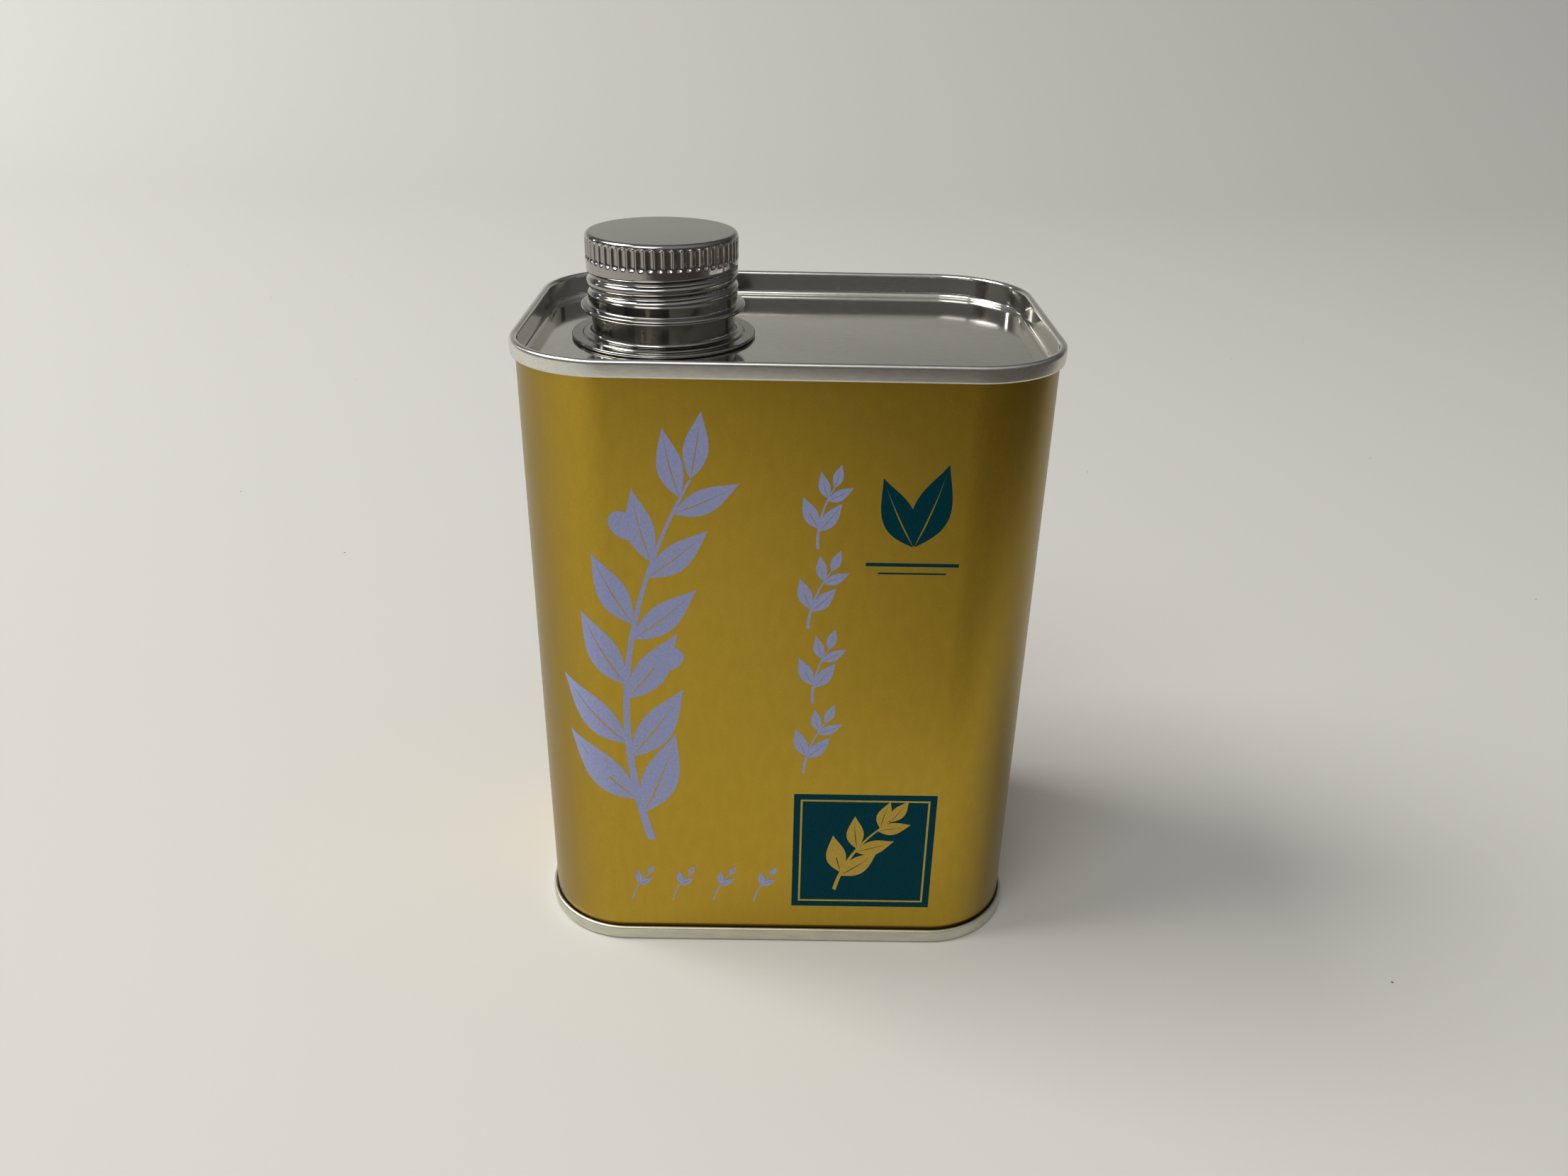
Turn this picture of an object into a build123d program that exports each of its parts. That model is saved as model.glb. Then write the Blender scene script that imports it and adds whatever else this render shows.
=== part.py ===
from build123d import *
import os

# Olive oil tin: a seamed rectangular tinplate can with a drawn screw neck and a knurled tinplate cap.
# Millimetres. The origin is at the middle of the foot, +Z up, +X to the right, +Y to the back.

# Can
body_width = 87.0
body_depth = 60.0
corner_radius = 15.3
can_height = 112.0

# Tinplate gauges
body_gauge = 0.22
end_gauge = 0.25
neck_gauge = 0.25
cap_gauge = 0.23

# Double seams: an end's edge is folded over and under the body's flange
seam_height = 2.75
seam_gap = 0.04
body_hook = 1.9
end_hook = 1.7
crown_bevel = 0.35
compound_height = 0.2
compound_width = 0.4

# Ends: a flat panel let down behind an upright chuck wall
top_countersink = 4.3
bottom_countersink = 4.0
foot_bevel = 0.7
panel_border = 6.0

# Welded side seam at the middle of the back
lap_width = 1.0
lap_rise = 0.1

# Neck, pressed from one sheet and clinched into the lid
neck_from_side = 22.3
neck_flange_width = 3.5
neck_foot_bevel = 0.6
neck_flange_sheets = 2
neck_hole_clearance = 0.05
neck_plain_height = 5.2
neck_shoulder_rise = 0.5
neck_root_depth = 0.7
clinch_width = 1.6
gasket_thickness = 0.15
gasket_inset = 0.3
lip_height = 15.3
lip_width = 0.35

# Pour insert, pressed into the neck
insert_flange_thickness = 0.8
insert_flange_inset = 0.1
insert_clearance = 0.05
insert_wall = 0.9
insert_depth = 6.0
pour_channel_width = 2.6
pour_lip_wall = 0.8
pour_lip_drop = 0.5

# Screw cap and its liner
cap_radius = 12.7
cap_neck_gap = 0.37
cap_shoulder_bevel = 0.65
cap_shoulder_inner_bevel = 0.3
rim_reach = 1.2
rim_height = 0.9
rim_above_lid = 4.85
rim_bevel = 0.35
flute_count = 52
flute_depth = 0.35
flute_length = 3.4
flute_top_drop = 0.75
flute_land_share = 0.35
land_drop = 0.02
liner_thickness = 1.0
liner_gap = 0.03
liner_clearance = 0.2

# What a cutting tool runs past the face it works on
overrun = 0.2

# Places worked out from the sizes
neck_x = neck_from_side - body_width / 2
lid_z = can_height - top_countersink
seam_overhang = 3 * seam_gap + 2 * end_gauge + body_gauge
chuck_inset = body_gauge + seam_gap + end_gauge
seam_middle = (seam_overhang - chuck_inset) / 2
flange_drop = end_gauge + compound_height
neck_radius = cap_radius - cap_gauge - cap_neck_gap
neck_flange_radius = neck_radius + neck_flange_width
neck_bore = neck_radius - neck_gauge
root_radius = neck_radius - neck_root_depth
root_bore = root_radius - neck_gauge
lip_z = lid_z + lip_height
insert_top = lip_z + insert_flange_thickness
liner_z = insert_top + liner_gap
ceiling_z = liner_z + liner_thickness + liner_gap
cap_top = ceiling_z + cap_gauge
rim_radius = cap_radius + rim_reach
rim_z = lid_z + rim_above_lid
flute_top = cap_top - flute_top_drop
flute_low = flute_top - flute_length
land_radius = cap_radius - land_drop
flute_tip_radius = cap_radius - flute_depth - cap_gauge
neck_axis = Pos(neck_x, 0, 0)


def outset(distance):
    """The x of a point that lies so far outside the body's outer face."""
    return body_width / 2 + distance


def outline_path():
    """The body's outline at the foot, from the middle of the right side round to itself."""
    side_y = body_depth / 2 - corner_radius
    side_x = body_width / 2 - corner_radius
    start = (outset(0), 0)
    corners = [CenterArc((x, y), corner_radius, angle, 90)
               for x, y, angle in ((side_x, side_y, 0), (-side_x, side_y, 90),
                                   (-side_x, -side_y, 180), (side_x, -side_y, 270))]
    edges = [Line(start, corners[0] @ 0), corners[0]]
    for before, after in zip(corners, corners[1:]):
        edges += [Line(before @ 1, after @ 0), after]
    edges.append(Line(corners[-1] @ 1, start))
    return Wire([edge.edge() for edge in edges])


def round_the_can(section):
    """Carries an upright section, drawn at the right side, round the can's outline."""
    return sweep(Plane.XZ * section, path=outline_path())


def sheet(points, gauge, side):
    """The section of a sheet of even gauge, folded at (across, up) points on its show face."""
    line = Polyline(*points)
    return make_face(line.wire().offset_2d(gauge, kind=Kind.INTERSECTION, side=side, closed=True).edges())


def corner(section, x, z):
    """The corner of a section that lies nearest to (x, z)."""
    return section.vertices().sort_by_distance((x, z, 0))[0]


def spun(section):
    """A section of (across, up) points, spun round the upright axis."""
    return revolve(Plane.XZ * section, Axis.Z)


def ring(inner_radius, outer_radius, low, high):
    """A flat ring or short tube between two heights."""
    return spun(Pos((inner_radius + outer_radius) / 2, (low + high) / 2)
                * Rectangle(outer_radius - inner_radius, high - low))


def can_end(countersink):
    """An end with its countersunk panel, chuck wall and folded seam edge, its crown at z = 0."""
    wall_x = outset(-chuck_inset)
    edge_x = outset(seam_overhang)
    hook_x = outset(seam_gap)
    section = sheet([(outset(-panel_border), -countersink), (wall_x, -countersink), (wall_x, 0), (edge_x, 0),
                     (edge_x, -seam_height), (hook_x, -seam_height), (hook_x, end_hook - seam_height)],
                    end_gauge, Side.RIGHT)
    section = chamfer(corner(section, wall_x, -countersink), foot_bevel)
    for x in (wall_x, edge_x):
        section = chamfer(corner(section, x, 0), crown_bevel)
    plate = RectangleRounded(body_width - 2 * panel_border, body_depth - 2 * panel_border,
                             corner_radius - panel_border)
    panel = Pos(0, 0, -countersink - end_gauge) * extrude(plate, end_gauge)
    return round_the_can(section) + panel


def top_end():
    """The lid, with the hole that the neck is clinched into."""
    hole = neck_axis * ring(0, neck_radius + neck_hole_clearance, lid_z - end_gauge - overrun, lid_z + overrun)
    return Pos(0, 0, can_height) * can_end(top_countersink) - hole


def bottom_end():
    """The same end turned over, with no hole."""
    return mirror(can_end(bottom_countersink), about=Plane.XY)


def can_body():
    """The wall with its flanges folded out into both seams, and the welded lap at the back."""
    inner_x = outset(-body_gauge)
    hook_x = outset(2 * seam_gap + end_gauge + body_gauge)
    top = can_height - flange_drop
    section = sheet([(hook_x, top - body_hook), (hook_x, top), (inner_x, top), (inner_x, flange_drop),
                     (hook_x, flange_drop), (hook_x, flange_drop + body_hook)], body_gauge, Side.LEFT)
    lap_height = can_height - 2 * (seam_height + seam_gap)
    lap = Pos(0, body_depth / 2, can_height / 2) * Box(lap_width, 2 * lap_rise, lap_height)
    return round_the_can(section) + lap


def seam_compound(low):
    """The lining compound that a seam's crown presses on the body's flange."""
    middle = Pos(outset(seam_middle), low + compound_height / 2)
    return round_the_can(middle * Rectangle(compound_width, compound_height))


def spout_neck():
    """The neck: clinch under the lid, plain foot, shoulder, root of the thread and lip, with the folded flange."""
    under_z = lid_z - end_gauge
    flange_z = lid_z + gasket_thickness
    flange_top = flange_z + neck_flange_sheets * neck_gauge
    shoulder_z = lid_z + neck_plain_height
    wall = sheet([(neck_radius + clinch_width, under_z - neck_gauge), (neck_bore, under_z - neck_gauge),
                  (neck_bore, shoulder_z), (root_bore, shoulder_z + neck_shoulder_rise), (root_bore, lip_z),
                  (root_radius + lip_width, lip_z)], neck_gauge, Side.RIGHT)
    flange = make_face(Polyline((neck_bore, flange_z), (neck_flange_radius, flange_z),
                                (neck_flange_radius, flange_top), (neck_radius, flange_top),
                                (neck_radius, flange_top + 2 * neck_foot_bevel),
                                (neck_bore, flange_top + 2 * neck_foot_bevel), close=True))
    flange = chamfer(corner(flange, neck_radius, flange_top), neck_foot_bevel)
    return neck_axis * spun(wall + flange)


def neck_gasket():
    """The rubber ring between the lid and the neck's flange."""
    return neck_axis * ring(neck_radius + neck_hole_clearance, neck_flange_radius - gasket_inset,
                            lid_z, lid_z + gasket_thickness)


def pour_insert():
    """The plastic pourer: a flange on the neck's lip, a plug wall, a drip channel and the pour lip."""
    plug = root_bore - insert_clearance
    flange_edge = root_radius + lip_width - insert_flange_inset
    channel_x = plug - insert_wall
    pour_lip_x = channel_x - pour_channel_width
    pour_radius = pour_lip_x - pour_lip_wall
    low = insert_top - insert_depth
    lip_top = insert_top - pour_lip_drop
    section = make_face(Polyline((flange_edge, insert_top), (flange_edge, lip_z), (plug, lip_z), (plug, low),
                                 (pour_radius, low), (pour_radius, lip_top), (pour_lip_x, lip_top),
                                 (pour_lip_x, low + insert_wall), (channel_x, low + insert_wall),
                                 (channel_x, insert_top), close=True))
    return neck_axis * spun(section)


def fluted_outline():
    """The plan of the cap's fluted band: flat lands with a V-shaped flute pressed between each two."""
    step = 360 / flute_count
    land = flute_land_share * step / 2
    points = []
    for middle in (index * step for index in range(flute_count)):
        for radius, angle in ((land_radius, middle - land), (land_radius, middle + land),
                              (cap_radius - flute_depth, middle + step / 2)):
            points.append(Vector(radius, 0).rotate(Axis.Z, angle))
    return Polyline(*points, close=True)


def screw_cap():
    """The cap: a disc with its shoulder, the fluted band, the plain skirt and the rim's rolled bead."""
    inner = cap_radius - cap_gauge
    rim_top = rim_z + rim_height
    top = make_face(Polyline((0, cap_top), (cap_radius, cap_top), (cap_radius, flute_top), (inner, flute_top),
                             (inner, ceiling_z), (0, ceiling_z), close=True))
    top = chamfer(corner(top, cap_radius, cap_top), cap_shoulder_bevel)
    top = chamfer(corner(top, inner, ceiling_z), cap_shoulder_inner_bevel)
    skirt = make_face(Polyline((inner, flute_low), (cap_radius, flute_low), (cap_radius, rim_top),
                               (rim_radius, rim_top), (rim_radius, rim_z), (inner, rim_z), close=True))
    for z in (rim_z, rim_top):
        skirt = chamfer(corner(skirt, rim_radius, z), rim_bevel)
    band = make_face(fluted_outline()) - Circle(flute_tip_radius)
    return neck_axis * (spun(top) + spun(skirt) + Pos(0, 0, flute_low) * extrude(band, flute_length))


def cap_liner():
    """The foam disc that the cap presses on the pour insert."""
    return neck_axis * ring(0, flute_tip_radius - liner_clearance, liner_z, liner_z + liner_thickness)


def main():
    os.makedirs("parts", exist_ok=True)
    nodes = {
        "can_body": can_body(),
        "top_end": top_end(),
        "bottom_end": bottom_end(),
        "top_seam_compound": seam_compound(can_height - flange_drop),
        "bottom_seam_compound": seam_compound(end_gauge),
        "spout_neck": spout_neck(),
        "neck_gasket": neck_gasket(),
        "pour_insert": pour_insert(),
        "screw_cap": screw_cap(),
        "cap_liner": cap_liner(),
    }
    for name, shape in nodes.items():
        export_step(shape, f"parts/{name}.step")


if __name__ == "__main__":
    main()
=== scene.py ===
"""Olive oil tin with spout: a seamed, gold lacquered can with a bare tinplate lid, neck and knurled cap.

Lengths in the helpers are millimetres in the frame of the CAD model: origin at the middle of the foot,
+X to the right, +Y to the back, +Z up. skin() turns them into metres.
"""
from types import SimpleNamespace

import bpy
import numpy as np
from bpy.props import FloatProperty, FloatVectorProperty, IntProperty, PointerProperty
from mathutils import Matrix, Vector


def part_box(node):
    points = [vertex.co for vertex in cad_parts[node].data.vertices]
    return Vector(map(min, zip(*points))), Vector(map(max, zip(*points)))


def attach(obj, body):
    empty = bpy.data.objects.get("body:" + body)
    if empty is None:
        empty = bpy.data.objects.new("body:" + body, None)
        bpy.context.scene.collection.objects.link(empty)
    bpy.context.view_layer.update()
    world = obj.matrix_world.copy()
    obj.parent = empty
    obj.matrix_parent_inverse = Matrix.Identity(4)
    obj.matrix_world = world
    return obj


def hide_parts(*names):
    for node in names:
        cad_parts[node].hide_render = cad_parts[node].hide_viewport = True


bl_info = {
    "name": "Olive oil tin with spout",
    "version": (1, 0, 0),
    "blender": (4, 5, 0),
    "location": "3D View > Sidebar > Oil Tin",
    "description": "Builds a seamed oil tin with a screw neck and knurled cap around its packed CAD model",
    "category": "Add Mesh",
}

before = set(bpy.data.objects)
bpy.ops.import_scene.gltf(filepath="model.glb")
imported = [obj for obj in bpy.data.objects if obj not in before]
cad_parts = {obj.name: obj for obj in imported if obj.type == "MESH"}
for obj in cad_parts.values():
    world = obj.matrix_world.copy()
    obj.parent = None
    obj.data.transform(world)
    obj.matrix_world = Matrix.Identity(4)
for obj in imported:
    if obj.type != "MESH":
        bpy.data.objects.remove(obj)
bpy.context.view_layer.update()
MM = 0.001


def node_box(node):
    """Lowest and highest corner of a CAD node, in millimetres."""
    low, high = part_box(node)
    return np.array(low) / MM, np.array(high) / MM


LID_LOW, LID_HIGH = node_box("top_end")
BASE_HIGH = node_box("bottom_end")[1]
NECK_LOW, NECK_HIGH = node_box("spout_neck")
CAP_LOW, CAP_HIGH = node_box("screw_cap")
LINER_LOW, LINER_HIGH = node_box("cap_liner")
INSERT_LOW, INSERT_HIGH = node_box("pour_insert")
GASKET_LOW, GASKET_HIGH = node_box("neck_gasket")
NECK_X = (NECK_LOW[0] + NECK_HIGH[0]) / 2
CAN_HEIGHT = LID_HIGH[2]

# Lengths that the CAD model has too, in millimetres
CORNER_CENTRE = (28.2, 14.7)
HOLE_CLEARANCE = 0.05
COMPOUND_HEIGHT = 0.2
LAP_RISE = 0.1
NECK_PLAIN_HEIGHT = 5.2
NECK_SHOULDER_RISE = 0.5
RIM_ABOVE_LID = 4.85

# Forms that the scene adds, in millimetres
PANEL_EDGE = -4.0
SHEET_BEND = 0.25
SEAM_BOW = 0.045
PAST_SEAM = (3.2, 3.6)
NECK_BEAD = 0.22
NECK_CURL = 0.55
NECK_THREAD = 0.55
FLUTE_TOP = 1.2
FLUTE_FOOT = 3.65
FLUTE_HALF_WIDTH = 0.57
LOW_BAND_DEPTH = 0.14

# The photograph's width in pixels, and its focal length in the same pixels from the fit to the can's edges
PHOTO_WIDTH = 2212
PHOTO_FOCAL = 1734.13

NO_TRIANGLES = np.zeros((0, 3), int)


# Settings that a user would change

def length(name, description, millimetres):
    """A length that a user would change, kept in metres and given here in millimetres."""
    return FloatProperty(name=name, description=description, default=millimetres * MM, min=0.0, precision=5,
                         subtype="DISTANCE", unit="LENGTH")


def tint(name, description, colour):
    """A colour that a user would change."""
    return FloatVectorProperty(name=name, description=description, subtype="COLOR", default=colour)


class TinSizes(bpy.types.PropertyGroup):
    """Sizes of the can, its seams, its neck and its cap."""
    corner_radius: length("Corner radius", "Radius of the body's upright corners", 15.3)
    body_gauge: length("Body gauge", "Thickness of the body's tinplate", 0.22)
    end_gauge: length("End gauge", "Thickness of lid and base", 0.25)
    neck_gauge: length("Neck gauge", "Thickness of the neck's tinplate", 0.25)
    cap_gauge: length("Cap gauge", "Thickness of the cap's tinplate", 0.23)
    seam_gap: length("Seam gap", "Play between the folded sheets", 0.04)
    seam_height: length("Seam height", "Height of the double seams", 2.75)
    body_hook: length("Body hook", "How far the body's flange is folded down into a seam", 1.9)
    end_hook: length("End hook", "How far an end's edge is folded back up into a seam", 1.7)
    crown_radius: length("Crown radius", "Rounding of a seam's crown", 0.48)
    foot_radius: length("Foot radius", "Bend between panel and chuck wall", 0.9)
    lid_wave: length("Lid wave", "How far the lid's panel is out of flat", 0.02)
    neck_radius: length("Neck radius", "Outer radius of the neck's foot", 12.1)
    thread_root: length("Thread root", "Radius under the neck's thread", 11.65)
    thread_pitch: length("Thread pitch", "Rise of the thread in one turn", 2.2)
    thread_turns: FloatProperty(name="Thread turns", description="Turns of thread in the cap",
                                default=1.75, min=0.5, max=2.0)
    thread_height: length("Thread height", "Height of the groove's start above the lid", 7.7)
    groove_depth: length("Groove depth", "Depth of the cap's rolled groove", 0.65)
    flutes: IntProperty(name="Flutes", description="Number of pressed flutes", default=52, min=12, max=60)
    flute_depth: length("Flute depth", "Depth of a flute", 0.42)
    cap_radius: length("Cap radius", "Outer radius of the cap's skirt", 12.7)
    cap_shoulder: length("Cap shoulder", "Rounding of the cap's top edge", 0.6)


class TinColours(bpy.types.PropertyGroup):
    """Colours of lacquer, tinplate, print and floor."""
    gold: tint("Gold lacquer", "Lacquer over the body's tinplate", (0.485, 0.32, 0.038))
    tin: tint("Tinplate", "Bare tinplate of lid, seams and neck", (0.56, 0.55, 0.51))
    cap: tint("Cap tinplate", "Polished tinplate of the cap", (0.335, 0.322, 0.304))
    lilac: tint("Lilac ink", "Ink of the large motifs", (0.33, 0.36, 0.59))
    green: tint("Green ink", "Ink of the dark panel", (0.0, 0.041, 0.056))
    floor: tint("Floor", "Pale floor and backdrop", (0.60, 0.59, 0.55))


def settings_of(scene):
    """The tin's sizes, with each length in millimetres, and its colours."""
    values = {}
    for name in TinSizes.__annotations__:
        value = getattr(scene.tin_sizes, name)
        is_length = scene.tin_sizes.bl_rna.properties[name].unit == "LENGTH"
        values[name] = value / MM if is_length else value
    return SimpleNamespace(**values), scene.tin_colours


# Surfaces

def rounded_path(points, radii, steps=7, support=0.08):
    """Points along a line with rounded corners, as an (n, 2) array.

    Each corner gives way to an arc that touches both of its sides: it starts radius x tan(half the turn)
    before the corner. A support point outside each end of the arc, a share of the radius away, keeps the
    flats flat when shaded.
    """
    points = np.asarray(points, float)
    pieces = [points[:1]]
    for before, here, after, radius in zip(points[:-2], points[1:-1], points[2:], radii):
        come = (here - before) / np.linalg.norm(here - before)
        leave = (after - here) / np.linalg.norm(after - here)
        turn = np.arctan2(come[0] * leave[1] - come[1] * leave[0], come @ leave)
        reach = radius * np.tan(abs(turn) / 2)
        side = np.array([-come[1], come[0]]) * np.sign(turn)
        centre = here - come * reach + side * radius
        angles = np.linspace(0, turn, steps + 1)[:, None]
        arm = -side * radius
        crossed = np.array([-arm[1], arm[0]])
        arc = centre + arm * np.cos(angles) + crossed * np.sin(angles)
        apart = reach + radius * support
        pieces += [here - come * apart, arc, here + leave * apart]
    pieces.append(points[-1:])
    return np.vstack(pieces)


def along(path, spacing):
    """The path with long runs divided, so that no two neighbours lie further apart than the spacing."""
    step = np.linalg.norm(np.diff(path, axis=0), axis=1)
    count = np.maximum(1, np.ceil(step / spacing).astype(int))
    start = np.repeat(np.arange(len(step)), count)
    share = np.concatenate([np.arange(c) / c for c in count])[:, None]
    return np.vstack([path[start] * (1 - share) + path[start + 1] * share, path[-1:]])


def sideways(path, distance):
    """The path moved sideways, to the right of its direction for a positive distance."""
    step = np.diff(path, axis=0)
    step = step / np.linalg.norm(step, axis=1)[:, None]
    tangent = np.vstack([step[:1], step[:-1] + step[1:], step[-1:]])
    tangent = tangent / np.linalg.norm(tangent, axis=1)[:, None]
    return path + np.stack([tangent[:, 1], -tangent[:, 0]], axis=1) * distance


def sheet_loop(middle, gauge):
    """A sheet's closed section: its middle line moved half the gauge to one side, and back on the other."""
    return np.vstack([sideways(middle, gauge / 2), sideways(middle, -gauge / 2)[::-1]])


def half_plan(sizes):
    """Half the body's width and depth."""
    return np.array([LID_HIGH[0], LID_HIGH[1]]) - seam_overhang(sizes)


def can_outline(sizes, steps=28, side_steps=22):
    """The body's plan, as points and outward normals, from the back right corner round to itself.

    A corner's points are its centre plus radius x (cos, sin). Those of the straight side after it lie
    closer together towards both of its ends.
    """
    radius = sizes.corner_radius
    centre = half_plan(sizes) - radius
    angle = np.linspace(0, np.pi / 2, steps + 1)
    rim = np.stack([np.cos(angle), np.sin(angle)], axis=1)
    signs = np.array([(1, 1), (-1, 1), (-1, -1), (1, -1)])
    arcs = [(rim if number % 2 == 0 else rim[::-1]) * sign for number, sign in enumerate(signs)]
    corners = [centre * sign + arc * radius for sign, arc in zip(signs, arcs)]
    points, normals = [], []
    share = (np.arange(side_steps) + 1) / (side_steps + 1)
    share = (0.5 - 0.5 * np.cos(np.pi * share))[:, None]
    for arc, corner, after in zip(arcs, corners, corners[1:] + corners[:1]):
        points += [corner, corner[-1] * (1 - share) + after[0] * share]
        normals += [arc, np.repeat(arc[-1:], side_steps, axis=0)]
    return np.vstack(points), np.vstack(normals)


def seam_overhang(sizes):
    """How far a double seam stands out from the body: three gaps, two end sheets and one body sheet."""
    return 3 * sizes.seam_gap + 2 * sizes.end_gauge + sizes.body_gauge


def carried(section, outline):
    """Rings of a section carried round the plan: plan point + normal x across, at the section's height."""
    points, normals = outline
    plan = points[None] + normals[None] * section[:, None, :1]
    height = np.broadcast_to(section[:, None, 1:], plan.shape[:2] + (1,))
    return np.concatenate([plan, height], axis=2)


def spun(section, columns):
    """Rings of a section of (radius, height) about the neck's axis, in even columns or at given angles."""
    angle = np.arange(columns) * 2 * np.pi / columns if np.isscalar(columns) else columns
    radius = section[:, :1]
    height = np.broadcast_to(section[:, 1:], (len(section), len(angle)))
    return np.stack([NECK_X + radius * np.cos(angle), radius * np.sin(angle), height], axis=2)


def grid_faces(index):
    """Quads between the neighbours in a grid of point numbers."""
    return np.stack([index[:-1, :-1], index[:-1, 1:], index[1:, 1:], index[1:, :-1]], 2).reshape(-1, 4)


def fill_mesh(name, points, quads, triangles=NO_TRIANGLES):
    """An object at the origin from arrays of points in millimetres, with smooth faces."""
    mesh = bpy.data.meshes.new(name)
    mesh.from_pydata((points * MM).tolist(), [], quads.tolist() + triangles.tolist())
    mesh.validate()
    mesh.shade_smooth()
    piece = bpy.data.objects.new(name, mesh)
    bpy.context.scene.collection.objects.link(piece)
    return piece


def facing_out(points, quads, triangles):
    """Turns a closed surface's faces round if their volume, summed as triple products, is negative."""
    corner = points[np.vstack([quads[:, :3], quads[:, [0, 2, 3]], triangles])]
    volume = np.einsum("ij,ij->", corner[:, 0], np.cross(corner[:, 1], corner[:, 2]))
    return (quads[:, ::-1], triangles[:, ::-1]) if volume < 0 else (quads, triangles)


def skin(name, rings, poles=False):
    """A closed surface over rings of points, facing outwards.

    Without poles the last ring joins the first. With poles a fan closes the first and the last ring.
    """
    rows, columns = rings.shape[:2]
    points = rings.reshape(-1, 3)
    index = np.arange(rows * columns).reshape(rows, columns)
    index = np.hstack([index, index[:, :1]])
    quads = grid_faces(index if poles else np.vstack([index, index[:1]]))
    triangles = NO_TRIANGLES
    if poles:
        points = np.vstack([points, rings[0].mean(0), rings[-1].mean(0)])
        first = np.arange(columns)
        last = first + (rows - 1) * columns
        start = np.stack([np.full(columns, len(points) - 2), np.roll(first, -1), first], 1)
        end = np.stack([np.full(columns, len(points) - 1), last, np.roll(last, -1)], 1)
        triangles = np.vstack([start, end])
    quads, triangles = facing_out(points, quads, triangles)
    return fill_mesh(name, points, quads, triangles)


def smooth_step(low, high, value):
    """0 below low, 1 above high, and 3t^2 - 2t^3 between, with t the share of the way."""
    share = np.clip((value - low) / (high - low), 0, 1)
    return share * share * (3 - 2 * share)


def window(start, full, fading, end, value):
    """Rises smoothly from 0 to 1 between start and full, and falls back between fading and end."""
    return smooth_step(start, full, value) * (1 - smooth_step(fading, end, value))


def finish_piece(piece, material, body, slot, *nodes):
    """Gives a piece its material and body, and lets it stand for its CAD nodes. The slot is not used."""
    piece.data.materials.append(material)
    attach(piece, body)
    if nodes:
        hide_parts(*nodes)
    return piece


# Materials

class Nodes:
    """Shorthand for adding nodes and links to one tree."""

    def __init__(self, tree):
        self.tree = tree

    def feed(self, socket, value):
        """Links another node's output to a socket, or sets the socket's value."""
        if isinstance(value, bpy.types.NodeSocket):
            self.tree.links.new(value, socket)
        else:
            socket.default_value = value

    def add(self, kind, **settings):
        """Adds a node, sets its properties, and its inputs where a setting's name starts with in_."""
        node = self.tree.nodes.new(kind)
        for key, value in settings.items():
            if not key.startswith("in_"):
                setattr(node, key, value)
        for key, value in settings.items():
            if key.startswith("in_"):
                name = key[3:]
                self.feed(node.inputs[int(name) if name.isdigit() else name.replace("_", " ")], value)
        return node

    def math(self, operation, first, second=0.0):
        """One Math node's value."""
        return self.add("ShaderNodeMath", operation=operation, in_0=first, in_1=second).outputs[0]

    def times(self, first, second):
        """The product of two values."""
        return self.math("MULTIPLY", first, second)

    def plus(self, value, added, share):
        """A value with a share of another one added."""
        return self.math("ADD", value, self.times(added, share))

    def stretched(self, place, stretch):
        """Coordinates with each axis multiplied by its own number."""
        return self.add("ShaderNodeVectorMath", operation="MULTIPLY", in_0=place, in_1=stretch).outputs[0]

    def noise(self, place, scale, detail=2.0, **settings):
        """A Noise texture's value at a place."""
        return self.add("ShaderNodeTexNoise", in_Vector=place, in_Scale=scale, in_Detail=detail,
                        **settings).outputs[0]

    def ramp(self, value, low, high, out_low=0.0, out_high=1.0):
        """Maps a value smoothly from one range to another."""
        return self.add("ShaderNodeMapRange", interpolation_type="SMOOTHSTEP", in_Value=value,
                        in_From_Min=low, in_From_Max=high, in_To_Min=out_low, in_To_Max=out_high).outputs[0]

    def mix(self, share, first, second):
        """Mixes two colours by a share that another node gives."""
        node = self.add("ShaderNodeMix", data_type="RGBA", in_0=share)
        for socket, value in ((node.inputs[6], first), (node.inputs[7], second)):
            self.feed(socket, value if isinstance(value, bpy.types.NodeSocket) else (*value[:3], 1.0))
        return node.outputs[2]


def new_group(name, inputs, *outputs):
    """An empty shader group, as its helper, its input sockets and its output sockets.

    A vector comes first. Further inputs come as names with their defaults. Outputs are single values.
    """
    group = bpy.data.node_groups.new(name, "ShaderNodeTree")
    for label, value in ({"Vector": (0.0, 0.0, 0.0)} | inputs).items():
        kind = "NodeSocketFloat" if isinstance(value, float) else "NodeSocketVector"
        group.interface.new_socket(name=label, in_out="INPUT", socket_type=kind).default_value = value
    for label in outputs:
        group.interface.new_socket(name=label, in_out="OUTPUT", socket_type="NodeSocketFloat")
    nodes = Nodes(group)
    return nodes, nodes.add("NodeGroupInput").outputs, nodes.add("NodeGroupOutput").inputs


def streaks_group(name):
    """Rolling streaks: two noises read on coordinates that are stretched along one axis."""
    nodes, given, result = new_group(name, {"Stretch": (1.0, 1.0, 1.0), "Scale": 1.0}, "Fine", "Broad")
    place = nodes.stretched(given["Vector"], given["Stretch"])
    nodes.feed(result[0], nodes.noise(place, given["Scale"], 3.0, in_Roughness=0.6))
    nodes.feed(result[1], nodes.noise(place, nodes.times(given["Scale"], 0.13)))


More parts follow.
